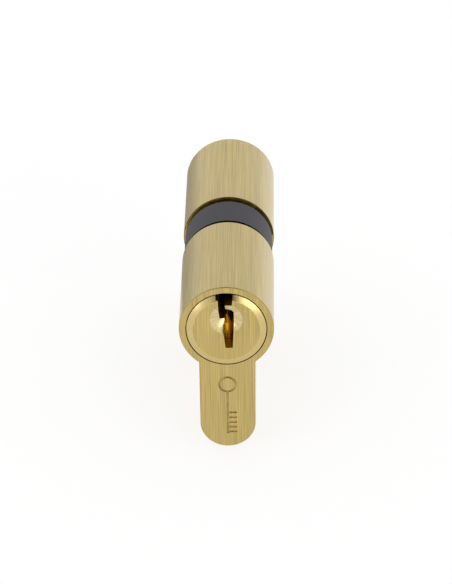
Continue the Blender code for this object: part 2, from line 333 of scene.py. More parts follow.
def prism(name, outline, low, high, edge=0.0):
    """An outline of (x, height) points, carried along Y from low to high, with its ends' edges broken."""
    stages = [(outline, low), (outline, high)]
    if edge:
        small = inset(outline, edge)
        stages = [(small, low), (outline, low + edge), (outline, high - edge), (small, high)]
    count = len(outline)
    points = [(x, y, height) for ring, y in stages for x, height in ring]
    faces = [range(count), range(len(points) - 1, len(points) - 1 - count, -1)]
    for start in range(0, len(points) - count, count):
        for i in range(count):
            after = (i + 1) % count
            faces.append((start + i, start + count + i, start + count + after, start + after))
    mesh = bpy.data.meshes.new(name)
    mesh.from_pydata(points, [], faces)
    return link(name, mesh)


def arc(centre_height, radius, start, end, steps):
    """Points on an arc in an outline's plane, its ends included, with angles from +X."""
    angles = [start + (end - start) * i / steps for i in range(steps + 1)]
    return [(radius * math.cos(a), centre_height + radius * math.sin(a)) for a in angles]


def rounded(corner, before, after, radius, steps=4):
    """Points of a small arc that takes the place of a profile's corner."""
    corner, before, after = Vector(corner), Vector(before), Vector(after)
    start = corner + (before - corner).normalized() * radius
    end = corner + (after - corner).normalized() * radius
    points = []
    for i in range(steps + 1):
        t = i / steps
        points.append(tuple(start.lerp(corner, t).lerp(corner.lerp(end, t), t)))
    return points


def paint(mesh, finishes, choose=None):
    """Gives the mesh its finishes. choose(polygon) returns the name of the one that a face takes."""
    mesh.materials.clear()
    for finish in finishes:
        mesh.materials.append(material(finish))
    if choose is not None:
        for polygon in mesh.polygons:
            polygon.material_index = finishes.index(choose(polygon))


def finish_piece(name, mesh, body, node=None):
    """A finished piece at the origin that rides on its body and stands for its node."""
    mesh.shade_smooth()
    mesh.set_sharp_from_angle(angle=SHARP)
    obj = link(name, mesh)
    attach(obj, body)
    if node is not None:
        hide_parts(node)
    return obj


# ---------------------------------------------------------------- geometry nodes


def add_node(tree, kind, inputs=None, **settings):
    """Adds a node. Each input is either a value or another node's output that feeds it."""
    made = tree.nodes.new(kind)
    for name, value in settings.items():
        setattr(made, name, value)
    for key, value in (inputs or {}).items():
        if isinstance(value, bpy.types.NodeSocket):
            tree.links.new(value, made.inputs[key])
        else:
            made.inputs[key].default_value = value
    return made


def new_tree(name, sizes):
    """An empty geometry tree with one input for each size and one for the material."""
    tree = bpy.data.node_groups.new(name, "GeometryNodeTree")
    for size, kind in sizes.items():
        tree.interface.new_socket(name=size, in_out="INPUT", socket_type=kind)
    tree.interface.new_socket(name="Material", in_out="INPUT", socket_type="NodeSocketMaterial")
    tree.interface.new_socket(name="Geometry", in_out="OUTPUT", socket_type="NodeSocketGeometry")
    return tree, tree.nodes.new("NodeGroupInput").outputs


def close_tree(tree, geometry, given):
    """Ends a tree in Realize Instances and Set Material."""
    real = add_node(tree, "GeometryNodeRealizeInstances", {"Geometry": geometry})
    inputs = {"Geometry": real.outputs[0], "Material": given["Material"]}
    coated = add_node(tree, "GeometryNodeSetMaterial", inputs)
    add_node(tree, "NodeGroupOutput", {"Geometry": coated.outputs[0]})
    return tree


def calculate(tree, operation, first, second=0.0):
    inputs = {0: first, 1: second}
    return add_node(tree, "ShaderNodeMath", inputs, operation=operation).outputs[0]


def grown(tree, values, matrix=None):
    """The plain mesh that a tree makes of the values given to its named inputs."""
    obj = link(tree.name, bpy.data.meshes.new(tree.name))
    modifier = obj.modifiers.new(tree.name, "NODES")
    modifier.node_group = tree
    for item in tree.interface.items_tree:
        if item.in_out == "INPUT":
            modifier[item.identifier] = values[item.name]
    mesh = evaluated_mesh(obj)
    if matrix is not None:
        mesh.transform(matrix)
    return mesh


FLOAT = "NodeSocketFloat"
INTEGER = "NodeSocketInt"


def spring_tree():
    """A coil about Z from height 0, whose turns lie closer together at both ends."""
    sizes = {"Height": FLOAT, "Radius": FLOAT, "Wire radius": FLOAT, "Turns": INTEGER, "Steps": INTEGER}
    tree, given = new_tree("pin spring", sizes)
    count = calculate(tree, "MULTIPLY", given["Turns"], given["Steps"])
    line = add_node(tree, "GeometryNodeMeshLine", {"Count": calculate(tree, "ADD", count, 1.0)})
    share = calculate(tree, "DIVIDE", add_node(tree, "GeometryNodeInputIndex").outputs[0], count)
    angle = calculate(tree, "MULTIPLY", calculate(tree, "MULTIPLY", share, given["Turns"]), math.tau)
    eased = add_node(
        tree, "ShaderNodeMapRange", {"Value": share, "From Min": 0.0, "From Max": 1.0},
        interpolation_type="SMOOTHSTEP",
    )
    shares = {"Factor": 0.55, "A": share, "B": eased.outputs[0]}
    blend = add_node(tree, "ShaderNodeMix", shares, data_type="FLOAT")
    place = add_node(tree, "ShaderNodeCombineXYZ", {
        "X": calculate(tree, "MULTIPLY", calculate(tree, "COSINE", angle), given["Radius"]),
        "Y": calculate(tree, "MULTIPLY", calculate(tree, "SINE", angle), given["Radius"]),
        "Z": calculate(tree, "MULTIPLY", blend.outputs[0], given["Height"]),
    })
    coil = add_node(
        tree, "GeometryNodeSetPosition", {"Geometry": line.outputs[0], "Position": place.outputs[0]},
    )
    path = add_node(tree, "GeometryNodeMeshToCurve", {"Mesh": coil.outputs[0]})
    section = add_node(
        tree, "GeometryNodeCurvePrimitiveCircle", {"Resolution": 10, "Radius": given["Wire radius"]},
    )
    wire = add_node(tree, "GeometryNodeCurveToMesh", {
        "Curve": path.outputs[0], "Profile Curve": section.outputs[0], "Fill Caps": True,
    })
    return close_tree(tree, wire.outputs[0], given)


def turned_pin_tree():
    """A pin about Z, standing at height 0: a small rounded foot, a straight side and a cone up to its tip."""
    sizes = {
        "Length": FLOAT, "Radius": FLOAT, "Edge": FLOAT, "Cone": FLOAT, "Tip radius": FLOAT,
        "Facets": INTEGER,
    }
    tree, given = new_tree("turned pin", sizes)
    foot = calculate(tree, "SUBTRACT", given["Radius"], given["Edge"])
    shoulder = calculate(tree, "SUBTRACT", given["Length"], given["Cone"])
    straight = calculate(tree, "SUBTRACT", shoulder, given["Edge"])
    parts = add_node(tree, "GeometryNodeJoinGeometry")
    stages = [
        (foot, given["Radius"], 0.0, given["Edge"]),
        (given["Radius"], given["Radius"], given["Edge"], straight),
        (given["Radius"], given["Tip radius"], shoulder, given["Cone"]),
    ]
    for low_radius, high_radius, start, depth in stages:
        cone = add_node(tree, "GeometryNodeMeshCone", {
            "Vertices": given["Facets"], "Radius Top": high_radius, "Radius Bottom": low_radius,
            "Depth": depth,
        }, fill_type="NONE")
        lifted = add_node(tree, "ShaderNodeCombineXYZ", {"Z": start})
        moved = add_node(
            tree, "GeometryNodeTransform", {"Geometry": cone.outputs[0], "Translation": lifted.outputs[0]},
        )
        tree.links.new(moved.outputs[0], parts.inputs[0])
    for radius, height in ((foot, 0.0), (given["Tip radius"], given["Length"])):
        disc = add_node(
            tree, "GeometryNodeMeshCircle", {"Vertices": given["Facets"], "Radius": radius}, fill_type="NGON",
        )
        lifted = add_node(tree, "ShaderNodeCombineXYZ", {"Z": height})
        moved = add_node(
            tree, "GeometryNodeTransform", {"Geometry": disc.outputs[0], "Translation": lifted.outputs[0]},
        )
        tree.links.new(moved.outputs[0], parts.inputs[0])
    closed = add_node(tree, "GeometryNodeMergeByDistance", {"Geometry": parts.outputs[0], "Distance": WELD})
    return close_tree(tree, closed.outputs[0], given)


def thread_tree():
    """The ridge of an internal thread about Z, with a pointed section whose crest lies inwards."""
    sizes = {"Length": FLOAT, "Wall radius": FLOAT, "Pitch": FLOAT, "Depth": FLOAT, "Steps": INTEGER}
    tree, given = new_tree("screw thread", sizes)
    turns = calculate(tree, "DIVIDE", given["Length"], given["Pitch"])
    count = calculate(tree, "FLOOR", calculate(tree, "MULTIPLY", turns, given["Steps"]))
    line = add_node(tree, "GeometryNodeMeshLine", {"Count": calculate(tree, "ADD", count, 1.0)})
    share = calculate(tree, "DIVIDE", add_node(tree, "GeometryNodeInputIndex").outputs[0], count)
    angle = calculate(tree, "MULTIPLY", calculate(tree, "MULTIPLY", share, turns), math.tau)
    centred = calculate(tree, "SUBTRACT", share, 0.5)
    place = add_node(tree, "ShaderNodeCombineXYZ", {
        "X": calculate(tree, "MULTIPLY", calculate(tree, "COSINE", angle), given["Wall radius"]),
        "Y": calculate(tree, "MULTIPLY", calculate(tree, "SINE", angle), given["Wall radius"]),
        "Z": calculate(tree, "MULTIPLY", centred, given["Length"]),
    })
    helix = add_node(
        tree, "GeometryNodeSetPosition", {"Geometry": line.outputs[0], "Position": place.outputs[0]},
    )
    path = add_node(tree, "GeometryNodeMeshToCurve", {"Mesh": helix.outputs[0]})
    level = add_node(tree, "GeometryNodeSetCurveNormal", {"Curve": path.outputs[0]}, mode="Z_UP")
    # A three-sided section, stretched across the ridge to the pitch and along it to the depth.
    section = add_node(tree, "GeometryNodeCurvePrimitiveCircle", {"Resolution": 3, "Radius": 1.0})
    stretch = add_node(tree, "ShaderNodeCombineXYZ", {
        "X": calculate(tree, "MULTIPLY", given["Depth"], 2 / 3),
        "Y": calculate(tree, "MULTIPLY", given["Pitch"], 0.44),
        "Z": 1.0,
    })
    shaped = add_node(
        tree, "GeometryNodeTransform", {"Geometry": section.outputs[0], "Scale": stretch.outputs[0]},
    )
    ridge = add_node(tree, "GeometryNodeCurveToMesh", {
        "Curve": level.outputs[0], "Profile Curve": shaped.outputs[0], "Fill Caps": True,
    })
    return close_tree(tree, ridge.outputs[0], given)


def key_mark_tree():
    """A plain key as a cutter in the XZ plane: a ring, a shank below it and a row of bits at its end."""
    sizes = {"Height": FLOAT, "Stroke": FLOAT, "Depth": FLOAT, "Bits": INTEGER}
    tree, given = new_tree("key mark", sizes)
    bow = calculate(tree, "MULTIPLY", given["Height"], 0.125)
    deep = calculate(tree, "MULTIPLY", given["Depth"], 2.0)
    ring = add_node(tree, "GeometryNodeCurvePrimitiveCircle", {"Resolution": 48, "Radius": bow})
    section = add_node(
        tree, "GeometryNodeCurvePrimitiveQuadrilateral", {"Width": given["Stroke"], "Height": deep},
    )
    band = add_node(
        tree, "GeometryNodeCurveToMesh", {"Curve": ring.outputs[0], "Profile Curve": section.outputs[0]},
    )
    upright = add_node(tree, "GeometryNodeTransform", {
        "Geometry": band.outputs[0], "Rotation": (math.pi / 2, 0.0, 0.0),
        "Translation": add_node(tree, "ShaderNodeCombineXYZ", {
            "Z": calculate(tree, "SUBTRACT", calculate(tree, "MULTIPLY", given["Height"], 0.5), bow),
        }).outputs[0],
    })
    shank_length = calculate(tree, "SUBTRACT", given["Height"], calculate(tree, "MULTIPLY", bow, 2.0))
    shank = add_node(tree, "GeometryNodeMeshCube", {
        "Size": add_node(tree, "ShaderNodeCombineXYZ", {
            "X": given["Stroke"], "Y": deep, "Z": shank_length,
        }).outputs[0],
    })
    shank_place = add_node(tree, "GeometryNodeTransform", {
        "Geometry": shank.outputs[0],
        "Translation": add_node(
            tree, "ShaderNodeCombineXYZ", {"Z": calculate(tree, "MULTIPLY", bow, -1.0)},
        ).outputs[0],
    })
    bit = add_node(tree, "GeometryNodeMeshCube", {
        "Size": add_node(tree, "ShaderNodeCombineXYZ", {
            "X": calculate(tree, "MULTIPLY", given["Stroke"], 4.0), "Y": deep, "Z": given["Stroke"],
        }).outputs[0],
    })
    low = calculate(tree, "MULTIPLY", given["Height"], -0.5)
    row = add_node(tree, "GeometryNodeMeshLine", {
        "Count": given["Bits"],
        "Start Location": add_node(tree, "ShaderNodeCombineXYZ", {
            "X": calculate(tree, "MULTIPLY", given["Stroke"], 1.9),
            "Z": calculate(tree, "ADD", low, calculate(tree, "MULTIPLY", given["Stroke"], 0.9)),
        }).outputs[0],
        "Offset": add_node(tree, "ShaderNodeCombineXYZ", {
            "Z": calculate(tree, "MULTIPLY", given["Stroke"], 2.4),
        }).outputs[0],
    })
    bits = add_node(
        tree, "GeometryNodeInstanceOnPoints", {"Points": row.outputs[0], "Instance": bit.outputs[0]},
    )
    real_bits = add_node(tree, "GeometryNodeRealizeInstances", {"Geometry": bits.outputs[0]})
    whole = add_node(tree, "GeometryNodeMeshBoolean", operation="UNION", solver="EXACT")
    for part in (upright, shank_place, real_bits):
        tree.links.new(part.outputs[0], whole.inputs["Mesh 2"])
    return close_tree(tree, whole.outputs[0], given)


def clip_tree():
    """A flat spring clip about Z, open at +Y, bent from strip with rounded edges."""
    sizes = {"Inner": FLOAT, "Outer": FLOAT, "Thickness": FLOAT, "Mouth": FLOAT}
    tree, given = new_tree("retaining clip", sizes)
    middle = calculate(tree, "MULTIPLY", calculate(tree, "ADD", given["Inner"], given["Outer"]), 0.5)
    width = calculate(tree, "SUBTRACT", given["Outer"], given["Inner"])
    start = calculate(tree, "ADD", calculate(tree, "MULTIPLY", given["Mouth"], 0.5), math.pi / 2)
    sweep = calculate(tree, "SUBTRACT", math.tau, given["Mouth"])
    path = add_node(tree, "GeometryNodeCurveArc", {
        "Resolution": 97, "Radius": middle, "Start Angle": start, "Sweep Angle": sweep,
    })
    strip = add_node(
        tree, "GeometryNodeCurvePrimitiveQuadrilateral", {"Width": width, "Height": given["Thickness"]},
    )
    eased = add_node(tree, "GeometryNodeFilletCurve", {
        "Curve": strip.outputs[0], "Radius": calculate(tree, "MULTIPLY", given["Thickness"], 0.2), "Count": 3,
    }, mode="POLY")
    bent = add_node(tree, "GeometryNodeCurveToMesh", {
        "Curve": path.outputs[0], "Profile Curve": eased.outputs[0], "Fill Caps": True,
    })
    return close_tree(tree, bent.outputs[0], given)


# ---------------------------------------------------------------- materials


def shaded(colour, share):
    """A colour with only a share of its light."""
    return (*[channel * share for channel in colour[:3]], 1.0)


def new_material(name, **shader_values):
    """A Principled material, with its shader's own sockets set, and its tree."""
    material = bpy.data.materials.new(name)
    material.use_nodes = True
    shader = material.node_tree.nodes["Principled BSDF"]
    for socket, value in shader_values.items():
        shader.inputs[socket.replace("_", " ")].default_value = value
    return material, material.node_tree, shader


def pattern(tree, size_mm, detail=3.0, roughness=0.55, place=None):
    """Noise whose features have the given size in millimetres along X, Y and Z."""
    if place is None:
        place = add_node(tree, "ShaderNodeTexCoord").outputs["Object"]
    scale = [1 / (size * MM) for size in size_mm]
    scaled = add_node(tree, "ShaderNodeMapping", {"Vector": place, "Scale": scale})
    inputs = {"Vector": scaled.outputs[0], "Scale": 1.0, "Detail": detail, "Roughness": roughness}
    return add_node(tree, "ShaderNodeTexNoise", inputs).outputs[0]


def spread(tree, value, low, high, start=0.3, end=0.7):
    """Maps a pattern's usual range onto low to high."""
    return add_node(tree, "ShaderNodeMapRange", {
        "Value": value, "From Min": start, "From Max": end, "To Min": low, "To Max": high,
    }).outputs[0]


def blend_colours(tree, factor, first, second):
    inputs = {"Factor": factor, 6: first, 7: second}
    return add_node(tree, "ShaderNodeMix", inputs, data_type="RGBA").outputs[2]


def add_bump(tree, shader, height, depth_mm):
    inputs = {"Height": height, "Distance": depth_mm * MM, "Strength": 1.0}
    tree.links.new(add_node(tree, "ShaderNodeBump", inputs).outputs[0], shader.inputs["Normal"])


def about_axis(tree, height):
    """How far a point lies from a line along Y at that height, and round it, from straight below."""
    place = add_node(tree, "ShaderNodeTexCoord").outputs["Object"]
    parts = add_node(tree, "ShaderNodeSeparateXYZ", {"Vector": place}).outputs
    down = calculate(tree, "SUBTRACT", height, parts[2])
    squares = [calculate(tree, "MULTIPLY", side, side) for side in (parts[0], down)]
    angle = calculate(tree, "ARCTAN2", parts[0], down)
    return calculate(tree, "SQRT", calculate(tree, "ADD", *squares)), angle


def brushed_brass(name, colour, along, darkest, lacquer=0.0):
    """Brass with a linear grain. It shows as fine pale and dark streaks, a little blurred by handling.

    The grain is about 0.15 mm wide, coarser than a real satin finish, so that it shows at this distance. A
    share of clear lacquer makes surfaces that turn away from the eye paler.
    """
    fine = [0.15, 0.15, 0.15]
    broad = [1.1, 1.1, 1.1]
    fine[along], broad[along] = 16.0, 60.0
    material, tree, shader = new_material(name, Metallic=1.0, Coat_Weight=lacquer, Coat_Roughness=0.25)
    streaks = pattern(tree, fine, detail=4.0, roughness=0.6)
    bands = pattern(tree, broad, detail=2.0)
    handling = pattern(tree, (5.0, 7.0, 5.0), detail=3.0)
    shares = [calculate(tree, "MULTIPLY", *layer) for layer in ((streaks, 0.8), (bands, 0.2))]
    tone = calculate(tree, "ADD", *shares)
    base = blend_colours(tree, spread(tree, tone, 0.0, 1.0, 0.36, 0.64), shaded(colour, darkest), colour)
    scratched = spread(tree, streaks, 0.0, 1.0, 0.68, 0.74)
    tree.links.new(blend_colours(tree, scratched, base, shaded(colour, 0.6)), shader.inputs["Base Color"])
    gloss = calculate(tree, "ADD", spread(tree, streaks, 0.32, 0.44), spread(tree, handling, -0.03, 0.03))
    tree.links.new(gloss, shader.inputs["Roughness"])
    add_bump(tree, shader, streaks, 0.012)
    return material


def turned_brass(name, colour, pitch_mm, gloss, darkest=0.75, ring_mm=0.0015):
    """Brass from the lathe, with fine rings about the cores' axis that make it gleam in arcs.

    The rings are coarser than a real feed mark, so that they show at this distance.
    """
    material, tree, shader = new_material(name, Metallic=1.0)
    radius, _ = about_axis(tree, AXIS_HEIGHT)
    rings = calculate(tree, "SINE", calculate(tree, "MULTIPLY", radius, math.tau / (pitch_mm * MM)))
    tarnish = pattern(tree, (1.4, 1.4, 1.4), detail=4.0)
    base = blend_colours(tree, spread(tree, tarnish, 0.0, 1.0), shaded(colour, darkest), colour)
    tree.links.new(base, shader.inputs["Base Color"])
    tree.links.new(spread(tree, tarnish, gloss - 0.04, gloss + 0.04), shader.inputs["Roughness"])
    add_bump(tree, shader, rings, ring_mm)
    return material


def bright_cone(name, colour, height):
    """Brass cut to a bright cone, with faint streaks that run from its rim towards its point. The pale and
    dark streaks in its colour are painted sheen, for the radial gleam of a turned cone.
    """
    material, tree, shader = new_material(name, Metallic=1.0)
    radius, angle = about_axis(tree, height)
    round_way = calculate(tree, "MULTIPLY", angle, 2 * MM)
    unrolled = add_node(tree, "ShaderNodeCombineXYZ", {"X": round_way, "Y": radius})
    streaks = pattern(tree, (0.5, 5.0, 1.0), detail=3.0, place=unrolled.outputs[0])
    # Painted sheen: pale and dark radial streaks in the colour.
    base = blend_colours(tree, spread(tree, streaks, 0.0, 1.0, 0.35, 0.65), shaded(colour, 0.75), colour)
    tree.links.new(base, shader.inputs["Base Color"])
    tree.links.new(spread(tree, streaks, 0.3, 0.2), shader.inputs["Roughness"])
    add_bump(tree, shader, streaks, 0.006)
    return material


def milled_brass(name, colour):
    """Brass straight from a slitting cutter: dull, scored in bands and blotched with darker tone."""
    material, tree, shader = new_material(name, Metallic=1.0)
    scores = pattern(tree, (0.2, 0.2, 4.0), detail=4.0)
    stains = pattern(tree, (2.0, 2.0, 2.0), detail=3.0)
    tone = calculate(tree, "MULTIPLY", calculate(tree, "ADD", scores, stains), 0.5)
    base = blend_colours(tree, spread(tree, tone, 0.0, 1.0, 0.4, 0.6), shaded(colour, 0.6), colour)
    tree.links.new(base, shader.inputs["Base Color"])
    tree.links.new(spread(tree, scores, 0.42, 0.56), shader.inputs["Roughness"])
    add_bump(tree, shader, scores, 0.02)
    return material


def sintered_steel(name, colour):
    """Pressed and sintered steel, oil-darkened: a dull grey skin with pores of about a quarter millimetre."""
    material, tree, shader = new_material(name, Metallic=1.0)
    pores = pattern(tree, (0.24, 0.24, 0.24), detail=5.0, roughness=0.7)
    mottling = pattern(tree, (2.2, 2.6, 2.2), detail=3.0)
    base = blend_colours(tree, spread(tree, mottling, 0.0, 1.0, 0.35, 0.65), shaded(colour, 0.45), colour)
    pitted = spread(tree, pores, 0.8, 0.0, 0.3, 0.46)
    tree.links.new(blend_colours(tree, pitted, base, shaded(colour, 0.2)), shader.inputs["Base Color"])
    tree.links.new(spread(tree, mottling, 0.42, 0.56), shader.inputs["Roughness"])
    add_bump(tree, shader, pores, 0.03)
    return material


def drawn_metal(name, colour):
    """Bright drawn, turned or rolled metal, with faint marks along it and a thin film of grease."""
    material, tree, shader = new_material(name, Metallic=1.0)
    marks = pattern(tree, (0.12, 0.5, 0.12), detail=3.0)
    base = blend_colours(tree, spread(tree, marks, 0.0, 1.0), shaded(colour, 0.6), colour)
    tree.links.new(base, shader.inputs["Base Color"])
    tree.links.new(spread(tree, marks, 0.18, 0.32), shader.inputs["Roughness"])
    add_bump(tree, shader, marks, 0.003)
    return material


def matt_paper(name, colour, glow):
    """The studio's matt paper. The floor's is lit from within a little, so that shadows stay pale."""
    material, tree, shader = new_material(
        name, Base_Color=colour, Roughness=0.9, Emission_Color=linear("FFFFFF"), Emission_Strength=glow,
    )
    fibres = pattern(tree, (3.0, 3.0, 3.0), detail=4.0)
    tree.links.new(spread(tree, fibres, 0.86, 0.94), shader.inputs["Roughness"])
    return material


def make_material(name):
    """Makes the finish of that name in the colour set for it."""
    colours = bpy.context.scene.lock_finishes
    guide_height = AXIS_HEIGHT + bpy.context.scene.lock_sizes.guide_height
    makers = {
        "drawn_satin_brass": lambda: brushed_brass(name, colours.barrel, 1, 0.68, 0.4),
        "faced_satin_brass": lambda: brushed_brass(name, colours.face, 2, 0.61),
        "broken_edge_brass": lambda: turned_brass(name, colours.edge, 0.1, 0.5),
        "bevelled_brass": lambda: turned_brass(name, colours.bevel, 0.12, 0.26, 0.93, 0.0004),
        "bored_brass": lambda: turned_brass(name, colours.bore, 0.15, 0.32),
        "reamed_brass": lambda: turned_brass(name, colours.seat, 0.15, 0.4),
        "broached_brass": lambda: turned_brass(name, colours.notch, 0.15, 0.45),
        "engraved_brass": lambda: milled_brass(name, colours.mark),
        "milled_brass": lambda: milled_brass(name, colours.recess),
        "bright_cone_brass": lambda: bright_cone(name, colours.guide, guide_height),
        "turned_pin_brass": lambda: drawn_metal(name, colours.key_pin),
        "nickel_silver": lambda: drawn_metal(name, colours.driver_pin),
        "spring_steel": lambda: drawn_metal(name, colours.spring),
        "sintered_steel": lambda: sintered_steel(name, colours.cam),
        "blackened_steel": lambda: sintered_steel(name, colours.cam_ends),
        "white_paper": lambda: matt_paper(name, colours.floor, 0.78),
        "black_paper": lambda: matt_paper(name, colours.card, 0.0),
        "grey_paper": lambda: matt_paper(name, colours.sheet, 0.0),
    }
    return makers[name]()


def material(name):
    """The material of that name, made when it is first asked for."""
    return bpy.data.materials.get(name) or make_material(name)


# ---------------------------------------------------------------- pieces


def body_outline():
    """The round barrel over its round-footed stem, heights from the barrel's axis."""
    shoulder = math.asin(STEM_HALF / BARREL_RADIUS)
    barrel = arc(0, BARREL_RADIUS, shoulder - math.pi / 2, 1.5 * math.pi - shoulder, BARREL_FACETS)
    return barrel + arc(FOOT + STEM_HALF, STEM_HALF, math.pi, 2 * math.pi, BARREL_FACETS // 3)


def pin_places():
    """Each pin stack's distance from the middle, from the face inwards."""
    return [-(low.y + high.y) / 2 for low, high in (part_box(f"front_key_pin_{n}") for n in STACKS)]


def clutch_shape(name, room, low, high, edge=0.0):
    """A bar across the axis with a round hub, grown on every side by room, from low to high along Y."""
    half, reach = DOG_WIDTH / 2 + room, DOG_REACH + room
    hub = DOG_HUB_RADIUS + room
    tip, root = math.asin(half / reach), math.asin(half / hub)
    right = arc(0, reach, -tip, tip, 12)
    top = arc(0, hub, root, math.pi - root, 24)
    left = arc(0, reach, math.pi - tip, math.pi + tip, 12)
    bottom = arc(0, hub, math.pi + root, 2 * math.pi - root, 24)
    return prism(name, right + top + left + bottom, low, high, edge)


class PieceOperator(bpy.types.Operator):
    """What the operators of all pieces share"""

    bl_options = {"REGISTER", "UNDO"}


class LOCK_OT_housing(PieceOperator):
    """Make the brass housing, with its recess, bores, screw hole and the mark on its stem"""

    bl_idname = "lock.housing"
    bl_label = "Housing"

    def execute(self, context):
        sizes = context.scene.lock_sizes
        bore = [
            (0, HALF_LENGTH + OVER), (FLANGE_RADIUS + sizes.flange_gap, HALF_LENGTH + OVER),
            (FLANGE_RADIUS + sizes.flange_gap, HALF_LENGTH - FLANGE_DEPTH - SLIP),
            (CORE_RADIUS + SLIP, HALF_LENGTH - FLANGE_DEPTH - SLIP),
            (CORE_RADIUS + SLIP, RECESS_HALF - OVER), (0, RECESS_HALF - OVER),
        ]
        cutters = [turned("bore", bore, BORE_FACETS, turn) for turn in (TO_REAR, TO_FRONT)]
        for distance in pin_places():
            for y in (-distance, distance):
                stack = Matrix.Translation((0, y, 0))
                top = -CORE_RADIUS / 2
                cutters.append(rod("chamber", CHAMBER_RADIUS, FOOT - OVER, top, CHAMBER_FACETS, stack))
        cutters.append(self.screw_hole(sizes))
        cutters.append(self.mark(sizes))
        mesh = combined(self.body(sizes), cutters)
        mesh.transform(AT_AXIS)
        finishes = [
            "drawn_satin_brass", "faced_satin_brass", "broken_edge_brass", "bored_brass", "milled_brass",
            "engraved_brass", "reamed_brass",
        ]
        paint(mesh, finishes, lambda polygon: self.finish_of(polygon, sizes))
        finish_piece("housing_shell", mesh, "housing", "housing")
        return {"FINISHED"}

    def body(self, sizes):
        """Both halves, joined across the recess by the bridge that the fixing screw passes through."""
        outline = body_outline()
        reach = RECESS_HALF + 2 * sizes.edge
        recess = rod("recess", RECESS_RADIUS, -reach - OVER, reach + OVER, BARREL_FACETS, TO_REAR)
        bridge = link("bridge", combined(prism("bridge", outline, -reach, reach), [recess]))
        rear = prism("rear_half", outline, RECESS_HALF, HALF_LENGTH, sizes.edge)
        front = prism("front_half", outline, -HALF_LENGTH, -RECESS_HALF, sizes.edge)
        return link("body", combined(front, [rear, bridge], "UNION"))

    def screw_hole(self, sizes):
        """The drilling for the screw's thread, countersunk at both flanks."""
        wall = SCREW_CORE_RADIUS + sizes.thread_depth
        sink = STEM_HALF - sizes.thread_depth
        profile = [
            (0, STEM_HALF + OVER), (wall + sizes.thread_depth + OVER, STEM_HALF + OVER), (wall, sink),
            (wall, -sink), (wall + sizes.thread_depth + OVER, -STEM_HALF - OVER), (0, -STEM_HALF - OVER),
        ]
        across = Matrix.Translation((0, 0, -AXIS_HEIGHT)) @ ACROSS
        return turned("screw_hole", profile, BORE_FACETS // 2, across)

    def mark(self, sizes):
        """The key-shaped mark, midway down the stem's front face."""
        values = {
            "Height": sizes.mark_height, "Stroke": sizes.mark_stroke, "Depth": sizes.mark_depth,
            "Bits": sizes.mark_bits, "Material": material("engraved_brass"),
        }
        middle = (FOOT - FLANGE_RADIUS) / 2
        place = Matrix.Translation((0, -HALF_LENGTH, middle))
        return link("mark", grown(key_mark_tree(), values, place))

    def finish_of(self, polygon, sizes):
        """The finish a face has, from where it is and how it faces."""
        x, y, height = polygon.center.x, abs(polygon.center.y), polygon.center.z - AXIS_HEIGHT
        radius, facing = math.hypot(x, height), abs(polygon.normal.y)
        if y > HALF_LENGTH - WELD:
            return "faced_satin_brass"
        if y > RECESS_HALF and 0.5 < facing < 0.9:
            return "broken_edge_brass" if y > HALF_LENGTH - FLANGE_DEPTH else "milled_brass"
        if radius < FLANGE_RADIUS + sizes.flange_gap + SLIP / 2 and height > -CORE_RADIUS - FLANGE_DEPTH:
            return "reamed_brass" if y > HALF_LENGTH - FLANGE_DEPTH else "bored_brass"
        if y > HALF_LENGTH - sizes.mark_depth - WELD:
            return "engraved_brass"
        scooped = y < RECESS_HALF and abs(radius - RECESS_RADIUS) < SLIP and abs(x) < STEM_HALF - WELD
        if scooped or (y < RECESS_HALF + WELD and facing > 0.99):
            return "milled_brass"
        beside_pins = abs(x) < CHAMBER_RADIUS and height > FOOT
        drilled = y > RECESS_HALF and beside_pins and abs(polygon.normal.z) < 0.1
        in_hole = math.hypot(y, polygon.center.z) < 1.5 * SCREW_CORE_RADIUS and abs(polygon.normal.x) < 0.8
        return "bored_brass" if drilled or in_hole else "drawn_satin_brass"


class LOCK_OT_screw_thread(PieceOperator):
    """Make the thread in the fixing screw's hole"""

    bl_idname = "lock.screw_thread"
    bl_label = "Screw thread"

    def execute(self, context):
        sizes = context.scene.lock_sizes
        values = {
            "Length": 2 * (STEM_HALF - sizes.thread_depth) - sizes.thread_pitch,
            "Wall radius": SCREW_CORE_RADIUS + 0.7 * sizes.thread_depth,
            "Pitch": sizes.thread_pitch, "Depth": sizes.thread_depth, "Steps": THREAD_STEPS,
            "Material": material("bored_brass"),
        }
        finish_piece("screw_thread", grown(thread_tree(), values, ACROSS), "housing")
        return {"FINISHED"}


